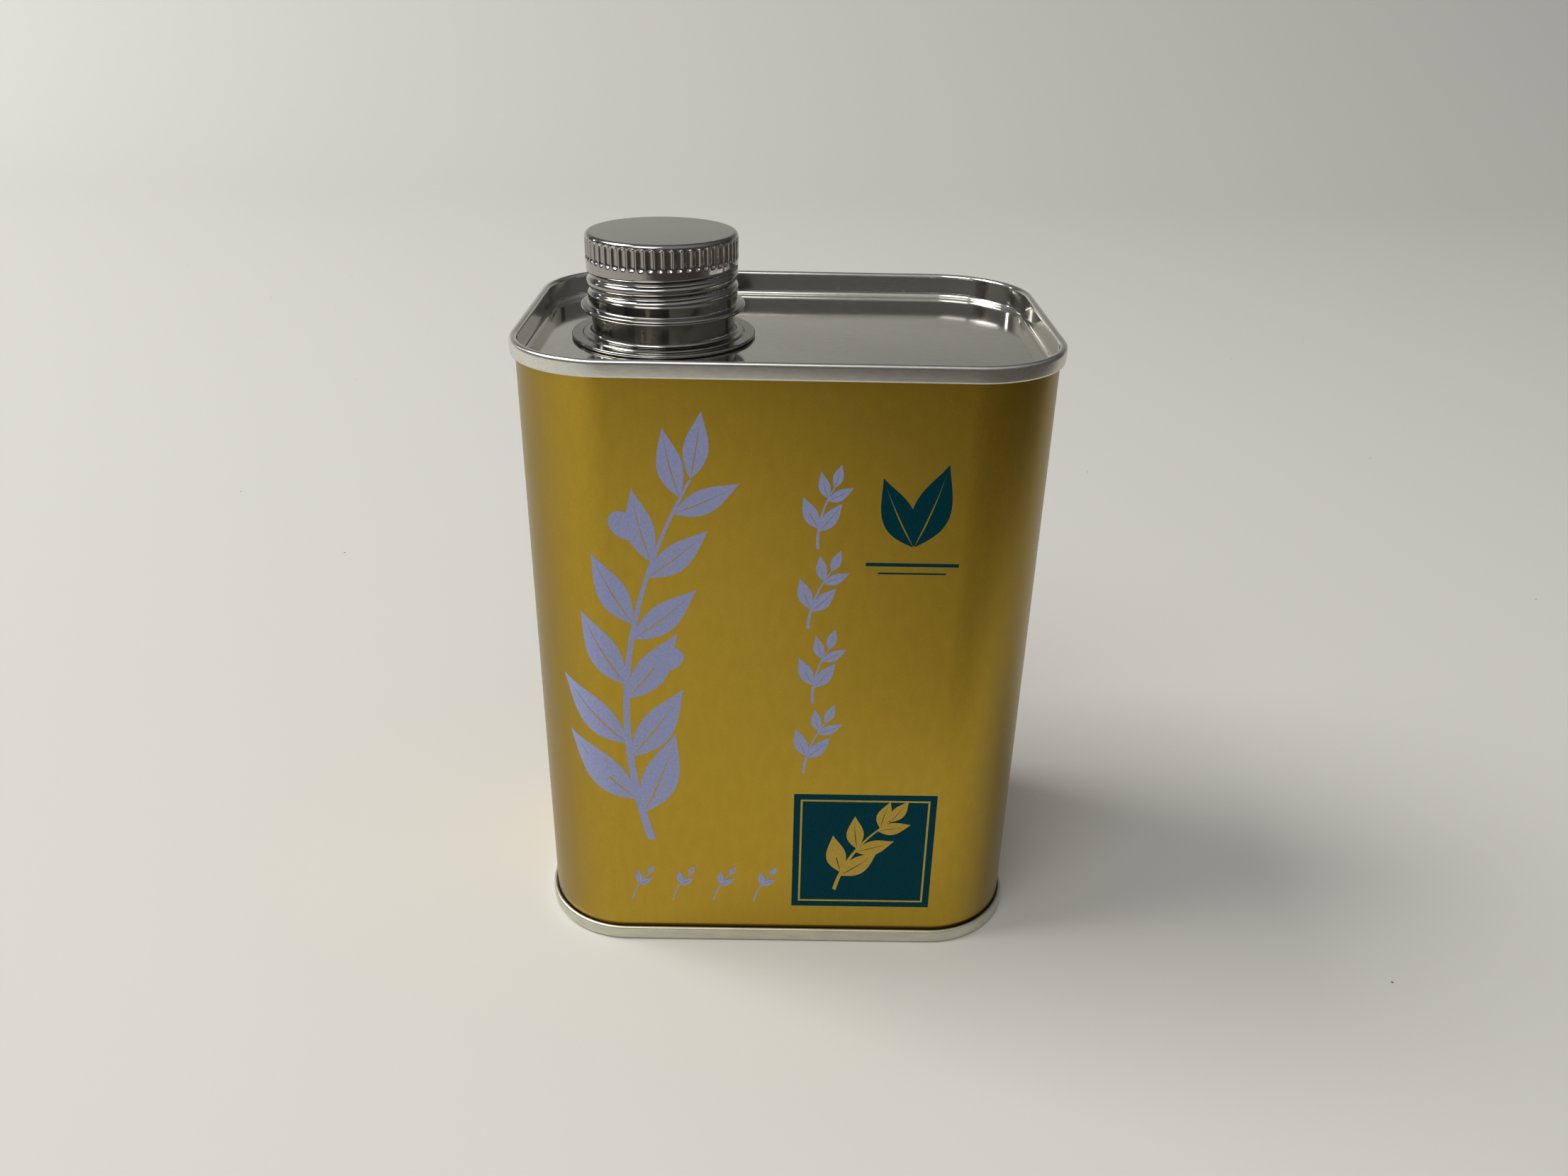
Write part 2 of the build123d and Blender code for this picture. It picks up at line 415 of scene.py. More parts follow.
def specks_group(name):
    """Specks: cells of a Voronoi texture whose centre is near and whose random value is low."""
    nodes, given, result = new_group(name, {"Scale": 1000.0, "Share": 0.1, "Size": 0.25}, "Mask")
    cells = nodes.add("ShaderNodeTexVoronoi", in_Vector=given["Vector"], in_Scale=given["Scale"])
    near = nodes.math("LESS_THAN", cells.outputs["Distance"], given["Size"])
    chance = nodes.add("ShaderNodeSeparateColor", in_Color=cells.outputs["Color"]).outputs[0]
    nodes.feed(result[0], nodes.times(near, nodes.math("LESS_THAN", chance, given["Share"])))


def scratches_group(name):
    """Hairline scratches: where two warped, stretched noises cross their middle value."""
    nodes, given, result = new_group(name, {"Scale": 100.0, "Width": 0.01}, "Mask")
    masks = []
    for stretch in ((1.0, 0.22, 0.6), (0.3, 1.0, 0.25)):
        lean = nodes.stretched(given["Vector"], stretch)
        noise = nodes.noise(lean, given["Scale"], 1.0, in_Distortion=1.2)
        off = nodes.math("ABSOLUTE", nodes.math("SUBTRACT", noise, 0.5))
        line = nodes.math("LESS_THAN", off, given["Width"])
        where = nodes.math("GREATER_THAN", nodes.noise(given["Vector"], given["Scale"]), 0.66)
        masks.append(nodes.times(line, where))
    nodes.feed(result[0], nodes.math("MAXIMUM", *masks))


GROUP_MAKERS = {"rolling_streaks": streaks_group, "fine_specks": specks_group,
                "hairline_scratches": scratches_group}


def use_group(nodes, name, **inputs):
    """Places a shared group, built the first time that it is asked for, and sets its inputs."""
    if name not in bpy.data.node_groups:
        GROUP_MAKERS[name](name)
    node = nodes.add("ShaderNodeGroup", node_tree=bpy.data.node_groups[name])
    for key, value in inputs.items():
        nodes.feed(node.inputs[key], value)
    return node.outputs


def speck_mask(nodes, place, scale, share, size):
    """Where fine specks lie: a share of the cells at this scale, each with a speck of this size."""
    return use_group(nodes, "fine_specks", Vector=place, Scale=scale, Share=share, Size=size)["Mask"]


def new_material(name, colour, metallic, roughness, **sockets):
    """A Principled material, as the material, its helper, its shader and its Object coordinates."""
    material = bpy.data.materials.new(name)
    material.use_nodes = True
    nodes = Nodes(material.node_tree)
    shader = material.node_tree.nodes["Principled BSDF"]
    shader.inputs["Base Color"].default_value = (*colour[:3], 1.0)
    shader.inputs["Metallic"].default_value = metallic
    shader.inputs["Roughness"].default_value = roughness
    for key, value in sockets.items():
        shader.inputs[key.replace("_", " ")].default_value = value
    return material, nodes, shader, nodes.add("ShaderNodeTexCoord").outputs["Object"]


def toned(colour, factor):
    """A colour made darker or paler by a factor, with no channel over 1."""
    return [min(1.0, channel * factor) for channel in colour]


def mottled(nodes, share, colour, dark, pale):
    """A colour that wavers between a darker and a paler tone of itself."""
    return nodes.mix(share, toned(colour, dark), toned(colour, pale))


def wire(nodes, shader, base, rough):
    """Feeds a colour and a roughness to the shader."""
    nodes.feed(shader.inputs["Base Color"], base)
    nodes.feed(shader.inputs["Roughness"], rough)


def bump(nodes, shader, height, strength, distance):
    """Feeds a height to the shader's normal."""
    node = nodes.add("ShaderNodeBump", in_Height=height, in_Strength=strength, in_Distance=distance)
    nodes.feed(shader.inputs["Normal"], node.outputs[0])


def gold_material(colours):
    """Satin gold lacquer: upright rolling streaks, grain, dark specks and a bare strip at the weld.

    The front's corners are painted browner and darker, and a thin band of the foot where it meets the seam
    is painted nearly black: both are painted shade.
    """
    material, nodes, shader, place = new_material("gold_lacquer", colours.gold, 1.0, 0.33)
    streak = use_group(nodes, "rolling_streaks", Vector=place, Stretch=(1.0, 1.0, 0.4), Scale=4600.0)
    grain = nodes.noise(place, 4200.0, 1.0)
    tone = nodes.plus(nodes.times(streak["Fine"], 0.55), grain, 0.45)
    base = mottled(nodes, nodes.ramp(tone, 0.36, 0.64), colours.gold, 0.95, 1.05)
    broad = nodes.ramp(streak["Broad"], 0.3, 0.7, 0.0, 0.35)
    base = nodes.mix(broad, base, toned(colours.gold, 0.86))
    specks = speck_mask(nodes, place, 520.0, 0.04, 0.06)
    base = nodes.mix(nodes.times(specks, 0.5), base, (0.16, 0.09, 0.02))
    x, y, z = nodes.add("ShaderNodeSeparateXYZ", in_0=place).outputs
    off_middle = nodes.math("ABSOLUTE", x)
    strip = nodes.math("LESS_THAN", off_middle, 1.9 * MM)
    strip = nodes.times(strip, nodes.math("GREATER_THAN", y, 0.0))
    base = nodes.mix(strip, base, colours.tin)
    # Painted shade: the front's corners are painted browner and darker, standing in for the shaded floor
    # that they reflect.
    edge = nodes.ramp(off_middle, 31.0 * MM, 43.0 * MM, 0.0, 0.8)
    edge = nodes.times(edge, nodes.ramp(y, -19.0 * MM, -8.0 * MM, 1.0, 0.0))
    base = nodes.mix(edge, base, (0.245, 0.174, 0.054))
    # Painted shade: a thin band of the wall just above the base seam is painted nearly black, where the
    # seam shades it.
    low = nodes.ramp(z, 3.1 * MM, 3.55 * MM, 0.85, 0.0)
    base = nodes.mix(low, base, (0.02, 0.012, 0.003))
    wire(nodes, shader, base, nodes.ramp(streak["Fine"], 0.3, 0.7, 0.30, 0.36))
    bump(nodes, shader, tone, 0.2, 0.00001)
    return material


def tin_material(name, colour, roughness, stretch, streak_scale=900.0, contrast=0.11, seam=0.0):
    """Bare tinplate: rolling streaks, hairline scratches, dull specks and a slightly uneven shine.

    Where a seam's roughness is given, the outer face of the seam is duller: it is known by its distance
    from the straight line or point that the body's corner turns about.
    """
    material, nodes, shader, place = new_material(name, colour, 1.0, roughness)
    streak = use_group(nodes, "rolling_streaks", Vector=place, Stretch=stretch, Scale=streak_scale)
    marks = use_group(nodes, "hairline_scratches", Vector=place, Scale=260.0, Width=0.0014)["Mask"]
    specks = speck_mask(nodes, place, 700.0, 0.02, 0.13)
    tone = nodes.ramp(streak["Fine"], 0.3, 0.7)
    base = mottled(nodes, tone, colour, 1 - contrast, 1 + contrast)
    base = nodes.mix(nodes.times(specks, 0.45), base, toned(colour, 0.25))
    base = nodes.mix(nodes.times(marks, 0.15), base, toned(colour, 1.3))
    dull = nodes.ramp(streak["Broad"], 0.35, 0.65, roughness * 0.92, roughness * 1.1)
    dull = nodes.plus(nodes.plus(dull, marks, 0.05), specks, 0.25)
    if seam:
        spots = nodes.add("ShaderNodeSeparateXYZ", in_0=place).outputs
        squares = []
        for spot, centre in zip(spots, CORNER_CENTRE):
            reach = nodes.math("SUBTRACT", nodes.math("ABSOLUTE", spot), centre * MM)
            reach = nodes.math("MAXIMUM", reach, 0.0)
            squares.append(nodes.times(reach, reach))
        away = nodes.math("SQRT", nodes.math("ADD", *squares))
        dull = nodes.math("ADD", dull, nodes.ramp(away, 15.7 * MM, 16.0 * MM, 0.0, seam - roughness))
    wire(nodes, shader, base, dull)
    swell = nodes.noise(place, 70.0)
    bump(nodes, shader, nodes.plus(nodes.times(swell, 0.75), tone, 0.02), 0.5, 0.00007)
    return material


def ink_material(name, colour, roughness, gloss=0.25):
    """Ink over lacquer: nearly flat colour, slightly uneven, with a few pinholes."""
    material, nodes, shader, place = new_material(name, colour, 0.1, roughness, Specular_IOR_Level=gloss)
    grain = nodes.noise(place, 2400.0)
    base = mottled(nodes, nodes.ramp(grain, 0.35, 0.65), colour, 0.93, 1.05)
    holes = speck_mask(nodes, place, 480.0, 0.012, 0.09)
    base = nodes.mix(nodes.times(holes, 0.5), base, (0.3, 0.2, 0.06))
    wire(nodes, shader, base, nodes.ramp(grain, 0.3, 0.7, roughness * 0.9, roughness * 1.1))
    return material


def soft_material(name, colour, roughness):
    """Plastic, foam or rubber: an even colour with fine mottling and a grain in the surface."""
    material, nodes, shader, place = new_material(name, colour, 0.0, roughness)
    grain = nodes.noise(place, 1800.0, 3.0)
    base = mottled(nodes, nodes.ramp(grain, 0.3, 0.7), colour, 0.9, 1.05)
    wire(nodes, shader, base, nodes.ramp(grain, 0.3, 0.7, roughness * 0.9, roughness * 1.1))
    bump(nodes, shader, grain, 0.3, 0.00002)
    return material


# Pieces

def end_middle_line(sizes, countersink):
    """Middle line of an end's sheet, as (outset, height from the crown).

    It runs over the panel's edge, foot, chuck wall, crown and hook. The fold's outer face draws in by a
    parabola towards both of its edges.
    """
    half = sizes.end_gauge / 2
    panel = -countersink - half
    chuck = -(sizes.body_gauge + sizes.seam_gap + sizes.end_gauge) + half
    edge = seam_overhang(sizes) - half
    hook = sizes.seam_gap + half
    low = half - sizes.seam_height
    points = [(PANEL_EDGE, panel), (chuck, panel), (chuck, -half), (edge, -half), (edge, low), (hook, low),
              (hook, sizes.end_hook - sizes.seam_height)]
    radii = [sizes.foot_radius + half, sizes.crown_radius, sizes.crown_radius, SHEET_BEND, SHEET_BEND]
    path = along(rounded_path(points, radii, steps=9), 0.4)
    share = np.clip(2 * path[:, 1] / sizes.seam_height + 1, -1, 1)
    path[:, 0] -= np.where(path[:, 0] > edge - 0.05, SEAM_BOW * share ** 2, 0.0)
    return path


def end_rings(sizes, countersink, centre, hole_radius, crown_z, wave):
    """Rings of an end: out over the panel, round the seam's fold and back under the panel.

    On the panel a point lies between the hole's edge and the foot of the chuck wall, on the ray from the
    hole's centre, and the panel is slightly out of flat: a few long sine waves that fade towards the foot.
    """
    outline = can_outline(sizes)
    middle = end_middle_line(sizes, countersink)
    share = np.linspace(0, 1, 26)[:-1, None, None] ** 0.9
    rings = []
    for side in (-sizes.end_gauge / 2, sizes.end_gauge / 2):
        edge = carried(sideways(middle, side), outline)
        foot = edge[0]
        ray = foot[:, :2] - centre
        ray = ray / np.linalg.norm(ray, axis=1)[:, None]
        inner = np.concatenate([centre + ray * hole_radius, foot[:, 2:]], axis=1)
        rings.append(np.concatenate([inner * (1 - share) + foot * share, edge]))
    both = np.concatenate([rings[0], rings[1][::-1]])
    x, y = both[..., 0], both[..., 1]
    inside = smooth_step(0.0, 14.0, np.minimum(LID_HIGH[0] - 3 - abs(x), LID_HIGH[1] - 3 - abs(y)))
    flat = both[..., 2] < 1.5 - countersink
    swell = np.sin(x / 13.0 + 0.8) * np.cos(y / 9.5 - 0.4) + 0.5 * np.sin((x + 1.7 * y) / 7.1)
    both[..., 2] += np.where(flat, wave * swell * inside, 0.0)
    both[..., 2] += crown_z
    return both


def thread_rise(rings, start_z, turns, width, pitch):
    """How much a thread shows at each point, 0 to 1.

    The thread's middle climbs by the pitch each turn from the back of the neck. The share is the squared
    cosine of the upright distance to the nearest turn, and fades over the last tenth of a turn at each end.
    """
    angle = np.mod(np.arctan2(rings[..., 1], rings[..., 0] - NECK_X) - np.pi / 2, 2 * np.pi)
    turn = np.round((rings[..., 2] - start_z) / pitch - angle / (2 * np.pi))
    travel = angle / (2 * np.pi) + turn
    height = start_z + travel * pitch
    share = np.clip(np.abs(rings[..., 2] - height) / width, 0, 1)
    fade = window(-0.02, 0.1, turns - 0.1, turns + 0.02, travel)
    return np.cos(share * np.pi / 2) ** 2 * fade


def moved_out(rings, amount):
    """Rings with each point moved away from the neck's axis."""
    out = rings.copy()
    arm = rings[..., :2] - np.array([NECK_X, 0.0])
    reach = np.maximum(np.linalg.norm(arm, axis=2), 1e-6)
    out[..., :2] += arm / reach[..., None] * amount[..., None]
    return out


class OILTIN_OT_body(bpy.types.Operator):
    """Build the can's wall with its flanges and the welded lap at the back"""
    bl_idname = "oiltin.body"
    bl_label = "Can body"

    def execute(self, context):
        sizes, colours = settings_of(context.scene)
        half = sizes.body_gauge / 2
        hook = 2 * sizes.seam_gap + sizes.end_gauge + half
        low = sizes.end_gauge + COMPOUND_HEIGHT
        top = CAN_HEIGHT - low
        points = [(hook, top - sizes.body_hook), (hook, top - half), (-half, top - half),
                  (-half, low + half), (hook, low + half), (hook, low + sizes.body_hook)]
        middle = along(rounded_path(points, [SHEET_BEND] * 4, steps=5), 4.0)
        rings = carried(sheet_loop(middle, sizes.body_gauge), can_outline(sizes))
        rings[..., 1] += self.lap_rise(rings, sizes)
        finish_piece(skin("can_wall", rings), gold_material(colours), "can", "gold_lacquer", "can_body")
        return {"FINISHED"}

    def lap_rise(self, rings, sizes):
        """The welded lap: a strip 1 mm wide that stands out a little at the middle of the back."""
        x, y, z = rings[..., 0], rings[..., 1], rings[..., 2]
        outer = abs(y - half_plan(sizes)[1]) < 0.05
        strip = 1 - smooth_step(0.4, 0.6, abs(x))
        near, clear = PAST_SEAM
        between = window(near, clear, CAN_HEIGHT - clear, CAN_HEIGHT - near, z)
        return np.where(outer, LAP_RISE * strip * between, 0.0)


class OILTIN_OT_ends(bpy.types.Operator):
    """Build lid and base with their countersunk panels and folded seams, and the seams' lining compound"""
    bl_idname = "oiltin.ends"
    bl_label = "Lid, base and seams"

    def execute(self, context):
        sizes, colours = settings_of(context.scene)
        countersink = CAN_HEIGHT - LID_LOW[2] - sizes.end_gauge
        hole = sizes.neck_radius + HOLE_CLEARANCE
        lid = end_rings(sizes, countersink, np.array([NECK_X, 0.0]), hole, CAN_HEIGHT, sizes.lid_wave)
        # Painted light: the lid uses the shared tinplate colour made 1.22 times paler, standing in for the
        # light that the lid catches.
        lid_finish = tin_material("lid_tinplate", toned(colours.tin, 1.22), 0.09, (0.2, 1.0, 1.0),
                                  streak_scale=2600.0, contrast=0.06, seam=0.28)
        finish_piece(skin("lid", lid), lid_finish, "can", "tinplate", "top_end")
        depth = BASE_HIGH[2] - sizes.end_gauge
        base = end_rings(sizes, depth, np.zeros(2), 1.0, 0.0, 0.5 * sizes.lid_wave)
        base[..., 2] *= -1
        # Painted light: the base uses the shared tinplate colour made paler and warmer, standing in for
        # light from the floor.
        painted_lit_tin = [channel * more for channel, more in zip(colours.tin, (1.15, 1.13, 1.02))]
        base_finish = tin_material("base_tinplate", painted_lit_tin, 0.42, (0.2, 1.0, 1.0), contrast=0.06)
        finish_piece(skin("base", base, poles=True), base_finish, "can", "tinplate", "bottom_end")
        compound = soft_material("lining_compound", (0.5, 0.44, 0.34), 0.6)
        for node in ("top_seam_compound", "bottom_seam_compound"):
            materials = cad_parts[node].data.materials
            materials.clear()
            materials.append(compound)
        return {"FINISHED"}


class OILTIN_OT_neck(bpy.types.Operator):
    """Build the clinched neck with its flange and rolled thread, the gasket under it and the pour insert"""
    bl_idname = "oiltin.neck"
    bl_label = "Neck, gasket and pour insert"

    def execute(self, context):
        sizes, colours = settings_of(context.scene)
        thick = sizes.neck_gauge
        half = thick / 2
        lid_z = LID_LOW[2] + sizes.end_gauge
        foot = sizes.neck_radius - half
        root = sizes.thread_root - half
        under = NECK_LOW[2] + half
        lip = NECK_HIGH[2] - half
        flange = GASKET_HIGH[2] + half
        rim = NECK_HIGH[0] - NECK_X - half
        bead = flange + thick + NECK_BEAD
        shoulder = lid_z + NECK_PLAIN_HEIGHT
        root_top = shoulder + NECK_SHOULDER_RISE
        points = [(foot + 1.7, under), (foot, under), (foot, flange), (rim, flange), (rim, flange + thick),
                  (foot + 1.75, flange + thick), (foot + 1.5, bead), (foot, bead), (foot, shoulder),
                  (root, root_top), (root, lip), (root + NECK_CURL, lip), (root + NECK_CURL, lip - 0.3)]
        radii = [0.2, 0.13, 0.11, 0.11, 0.15, 0.2, 0.9, 0.4, 0.4, 0.26, 0.13]
        middle = along(rounded_path(points, radii, steps=6), 0.16)
        rings = spun(sheet_loop(middle, thick), 190)
        start = lid_z + sizes.thread_height + sizes.thread_pitch / 2
        inside = window(root_top, shoulder + 1.1, lip - 2.2, lip - 1.7, rings[..., 2])
        ridge = thread_rise(rings, start, 1.5, 0.6, sizes.thread_pitch)
        rings = moved_out(rings, NECK_THREAD * ridge * inside)
        # Painted shade: the neck uses the shared tinplate colour at 0.56 of its tone, standing in for the
        # shade round the neck.
        tin = tin_material("neck_tinplate", toned(colours.tin, 0.56), 0.12, (1.0, 1.0, 0.3))
        finish_piece(skin("neck", rings), tin, "can", "tinplate", "spout_neck")

        inner, outer = sizes.neck_radius + HOLE_CLEARANCE, GASKET_HIGH[0] - NECK_X
        low, high = GASKET_LOW[2], GASKET_HIGH[2]
        ring = spun(np.array([(inner, low), (outer, low), (outer, high), (inner, high)]), 160)
        rubber = soft_material("gasket_rubber", (0.03, 0.03, 0.03), 0.6)
        finish_piece(skin("gasket", ring), rubber, "can", "gasket_rubber", "neck_gasket")
        self.pour_insert(sizes)
        return {"FINISHED"}

    def pour_insert(self, sizes):
        """Plug wall, drip channel and pour lip as one closed section with rounded edges, spun."""
        top, low = INSERT_HIGH[2], INSERT_LOW[2]
        seat = NECK_HIGH[2] + 0.02
        edge = INSERT_HIGH[0] - NECK_X
        plug = sizes.thread_root - sizes.neck_gauge - 0.3
        bore, pour_lip, wall = 6.6, 7.4, 0.9
        start = (plug - wall / 2, top)
        points = [start, (edge, top), (edge, seat), (plug, seat), (plug, low), (bore, low),
                  (bore, top - 0.5), (pour_lip, top - 0.5), (pour_lip, low + wall),
                  (plug - wall, low + wall), (plug - wall, top), start]
        radii = [0.3, 0.15, 0.05, 0.5, 0.2, 0.38, 0.38, 0.3, 0.3, 0.3]
        section = rounded_path(points, radii, steps=5)[:-1]
        plastic = soft_material("insert_plastic", (0.8, 0.8, 0.77), 0.4)
        finish_piece(skin("pourer", spun(section, 140)), plastic, "can", "insert_plastic", "pour_insert")


class OILTIN_OT_cap(bpy.types.Operator):
    """Build the cap with its flutes, rolled thread and rim, and the liner in it"""
    bl_idname = "oiltin.cap"
    bl_label = "Screw cap and liner"

    def execute(self, context):
        sizes, colours = settings_of(context.scene)
        half = sizes.cap_gauge / 2
        top = CAP_HIGH[2] - half
        low = CAP_LOW[2] + half
        skirt = sizes.cap_radius - half
        rim = CAP_HIGH[0] - NECK_X - half
        bead = rim - 1.05
        points = [(0.6, top), (skirt, top), (skirt, low + 0.75), (rim, low + 0.55), (rim, low), (bead, low),
                  (bead, low + 0.42)]
        radii = [sizes.cap_shoulder, 0.35, 0.26, 0.26, 0.2]
        middle = along(rounded_path(points, radii, steps=8), 0.15)
        flat = middle[:, 0] < skirt - sizes.cap_shoulder
        middle = np.vstack([along(middle[flat][[0, -1]], 1.2), middle[~flat]])
        outer = spun(sideways(middle, -half), self.columns(sizes))
        inner = spun(sideways(middle, half)[::4], self.columns(sizes))[::-1]
        rings = np.concatenate([outer, inner])
        rings = moved_out(rings, -self.pressed_in(rings, sizes))
        finish = tin_material("cap_tinplate", colours.cap, 0.11, (1.0, 1.0, 0.2), contrast=0.03)
        finish_piece(skin("cap", rings, poles=True), finish, "cap", "cap_tinplate", "screw_cap")

        radius = LINER_HIGH[0] - NECK_X
        low, high = LINER_LOW[2], LINER_HIGH[2]
        points = [(0.5, high), (radius, high), (radius, low), (0.5, low)]
        disc = spun(rounded_path(points, [0.15, 0.15], steps=4), 120)
        foam = soft_material("liner_foam", (0.86, 0.86, 0.83), 0.7)
        finish_piece(skin("liner", disc, poles=True), foam, "liner", "liner_foam", "cap_liner")
        return {"FINISHED"}

    def columns(self, sizes):
        """The angles of the cap's columns, closer together where a flute's edges are."""
        shares = np.array([0.0, 0.09, 0.145, 0.19, 0.29, 0.5, 0.71, 0.81, 0.855, 0.91])
        return ((np.arange(sizes.flutes)[:, None] + shares) * 2 * np.pi / sizes.flutes).ravel()

    def pressed_in(self, rings, sizes):
        """How far each point of the skirt is pressed towards the axis.

        A flute is a capsule on the skirt: its depth follows 1 - (distance to the flute's middle line / half
        width) squared, to the power 0.4. The groove is the thread's share times its depth, and the plain
        band below it lies a little further in.
        """
        x, y, z = rings[..., 0] - NECK_X, rings[..., 1], rings[..., 2]
        radius = np.hypot(x, y)
        skirt = window(sizes.cap_radius - 1.5, sizes.cap_radius - 0.6, sizes.cap_radius + 0.1,
                       sizes.cap_radius + 0.5, radius)
        step = 2 * np.pi / sizes.flutes
        across = (np.mod(np.arctan2(y, x), step) - step / 2) * sizes.cap_radius
        above, below = z - (CAP_HIGH[2] - FLUTE_TOP), CAP_HIGH[2] - FLUTE_FOOT - z
        beyond = np.maximum(np.maximum(above, below), 0)
        away = np.hypot(across, beyond) / FLUTE_HALF_WIDTH
        flute = np.clip(1 - away ** 2, 0, 1) ** 0.4 * sizes.flute_depth
        start = CAP_LOW[2] - RIM_ABOVE_LID + sizes.thread_height
        groove = thread_rise(rings, start, sizes.thread_turns, 0.85, sizes.thread_pitch)
        low_band = 1 - smooth_step(start - 0.3, start + 0.1, z)
        return (flute + groove * sizes.groove_depth + LOW_BAND_DEPTH * low_band) * skirt


class OILTIN_OT_print(bpy.types.Operator):
    """Print plain olive sprigs and a dark panel on the body's front"""
    bl_idname = "oiltin.print"
    bl_label = "Printed motifs"

    def execute(self, context):
        sizes, colours = settings_of(context.scene)
        lilac = ink_material("lilac_ink", colours.lilac, 0.42)
        green = ink_material("green_ink", colours.green, 0.3, gloss=0.04)
        gold = ink_material("gold_ink", colours.gold, 0.36)
        panel = [patch_grid(2.5, 28.0, 8.0, 33.5)]
        for name, patches, lift, ink in (
                ("lilac_sprigs", self.sprigs(), 0.02, lilac), ("green_panel", panel, 0.02, green),
                ("gold_emblem", self.emblem(), 0.03, gold), ("green_border", self.border(), 0.02, green)):
            finish_piece(printed(name, patches, lift, sizes), ink, "can", "gold_lacquer")
        return {"FINISHED"}

    def sprigs(self):
        """A tall branch with paired leaves and olives, a column of sprigs and a row of small ones."""
        patches = branch((-23.0, 23.0), (-15.0, 93.0), 7.0, 6, 19.0, 3.3)
        for number, height in enumerate((38.0, 52.5, 67.0, 81.5)):
            patches += branch((4.0 + 1.2 * (number % 2), height), (7.5, height + 10.5), 0.8, 2, 6.9, 1.35)
        for x in (-27.0, -19.5, -12.0, -4.5):
            patches += branch((x, 9.0), (x + 3.0, 15.0), 0.5, 1, 3.9, 0.8)
        return patches

    def emblem(self):
        """A sprig and a thin frame for the dark panel."""
        line = 0.35
        bars = [patch_grid(3.7, 26.8, low, low + line) for low in (9.2, 31.95)]
        bars += [patch_grid(left, left + line, 9.2, 32.3) for left in (3.7, 26.45)]
        return bars + branch((10.3, 12.0), (19.8, 27.6), 1.6, 3, 9.4, 2.0)

    def border(self):
        """Two dark leaves and rules at the upper right."""
        leaves = leaf((20.5, 82.0), 1.15, 15.0, 3.0, 0.1) + leaf((20.5, 82.0), 2.1, 13.0, 2.6, -0.1)
        return leaves + [patch_grid(13.0, 28.0, 78.6, 79.2), patch_grid(15.0, 26.0, 77.2, 77.5)]


def patch_grid(left, right, low, high):
    """A rectangle of the unrolled front as a grid of (across, up) points."""
    across, up = np.meshgrid(np.linspace(left, right, 24), np.linspace(low, high, 4))
    return np.stack([across, up], axis=2)


def turned(base, reach, side, heading):
    """A grid of points at so much along and beside a heading, from a base."""
    cos, sin = np.cos(heading), np.sin(heading)
    return np.stack([base[0] + reach * cos - side * sin, base[1] + reach * sin + side * cos], axis=2)


def leaf(base, heading, length, width, bend=0.15):
    """A leaf as two grids with a thin midrib left bare between them.

    Its middle line bends sideways with the square of the way along. Its half width is the width times
    sin(pi t^0.85)^1.2, so that it is widest just before the middle and runs out to a point at both ends.
    """
    t, s = np.meshgrid(np.linspace(0.02, 0.985, 22), np.linspace(0.0, 1, 4))
    outline = np.sin(np.pi * t ** 0.85) ** 1.2
    rib = 0.075 * (1 - t)
    halves = []
    for hand in (-1, 1):
        side = hand * width * outline * (rib + (1 - rib) * s) + bend * length * t ** 2
        halves.append(turned(base, length * t, side, heading))
    return halves


def olive(middle, heading, length, width):
    """An olive as a grid over an ellipse: half the length x -cos(a) along, half the width x sin(a) out."""
    a, s = np.meshgrid(np.radians(np.linspace(6, 174, 22)), np.linspace(-1, 1, 7))
    return turned(middle, -length / 2 * np.cos(a), width / 2 * np.sin(a) * s, heading)


def branch(start, end, sag, pairs, leaf_length, leaf_width):
    """A stem bowed sideways by a parabola, with pairs of leaves, shorter towards its tip, and olives."""
    start, end = np.array(start), np.array(end)
    run = end - start
    size = np.linalg.norm(run)
    heading = np.arctan2(run[1], run[0])
    normal = np.array([-run[1], run[0]]) / size

    def at(share):
        return start + run * share + normal * sag * 4 * share * (1 - share)

    t, s = np.meshgrid(np.linspace(0, 1, 40), np.linspace(-1, 1, 3))
    width = 0.035 * leaf_length * (1.15 - 0.8 * t) * s
    patches = [at(t[..., None]) + normal * width[..., None]]
    for index in range(pairs):
        share = (index + 0.6) / pairs
        slope = np.arctan2(4 * sag * (1 - 2 * share), size)
        shrink = 1.0 - 0.4 * share
        for hand in (-1, 1):
            angle = heading + slope + hand * (0.66 + 0.12 * (index % 2))
            spot = at(min(share + 0.02 * hand, 1.0))
            patches += leaf(spot, angle, leaf_length * shrink, leaf_width * shrink, -0.12 * hand)
        if index % 2 == 0 and index + 1 < pairs:
            hand = 1 if index % 4 == 0 else -1
            spot = at(share + 0.62 / pairs) + normal * hand * leaf_length * 0.34
            patches.append(olive(spot, heading + hand * 0.9, leaf_length * 0.3, leaf_length * 0.22))
    patches += leaf(at(1.0), heading - 0.1, leaf_length * 0.6, leaf_width * 0.6, 0.05)
    return patches


